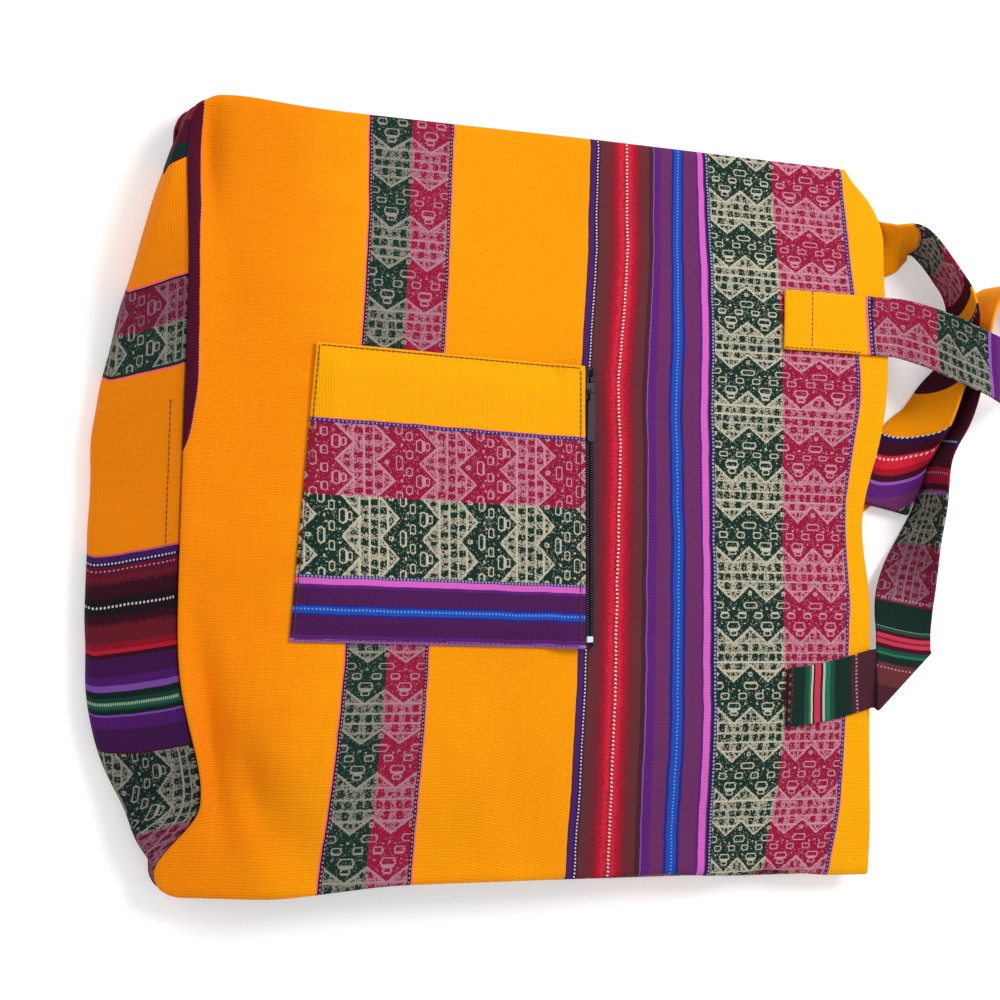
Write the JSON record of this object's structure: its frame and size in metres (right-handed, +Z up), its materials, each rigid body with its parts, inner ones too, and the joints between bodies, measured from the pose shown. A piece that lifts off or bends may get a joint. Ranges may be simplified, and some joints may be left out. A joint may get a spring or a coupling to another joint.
{
  "type": "tote bag",
  "caption": "Soft striped cloth tote bag lying on its back, with a gusset strip, two flat straps and a patch pocket closed by a zip at its side.",
  "frame": {"origin": "middle of the footprint, on the surface the bag lies on", "axes": "+X from the bag's bottom towards its mouth, +Y along the bottom seam, +Z up, out of the front panel"},
  "size_m": [0.5626, 0.4096, 0.049],
  "materials": {
    "panel_cloth": "plain-woven orange cloth with zigzag and stripe bands",
    "back_cloth": "plain-woven orange cloth with zigzag and stripe bands",
    "gusset_cloth": "the same striped cloth, its stripes across the strip",
    "pocket_cloth": "the same striped cloth, turned a quarter",
    "front_strap_cloth": "the same striped cloth folded into a flat strap",
    "back_strap_cloth": "the same striped cloth folded into a flat strap",
    "tape_cloth": "plum woven zip tape",
    "coil": "plum nylon coil",
    "stop": "white end stop",
    "metal": "dark painted metal"
  },
  "bodies": {
    "bag": {"front_panel": "panel_cloth", "back_panel": "back_cloth", "gusset_strip": "gusset_cloth", "front_pocket": "pocket_cloth", "zip_tape_pocket": "tape_cloth", "zip_tape_panel": "tape_cloth", "zip_coil_pocket": "coil", "zip_coil_panel": "coil", "zip_bottom_stop": "stop", "zip_top_stop_pocket": "metal", "zip_top_stop_panel": "metal", "front_strap": "front_strap_cloth", "back_strap": "back_strap_cloth"},
    "slider": {"zip_slider": "metal"},
    "pull": {"zip_pull": "metal"}
  },
  "joints": [
    {"name": "zip_slide", "type": "slide", "parent": "bag", "child": "slider", "axis": [0.04, -0.9992, -0.003], "range_m": [0, 0.126]},
    {"name": "pull_hinge", "type": "hinge", "parent": "slider", "child": "pull", "pos_m": [-0.02254, 0.06423, 0.0391], "axis": [-0.9964, -0.0401, 0.0748], "range_deg": [0, 170]}
  ]
}
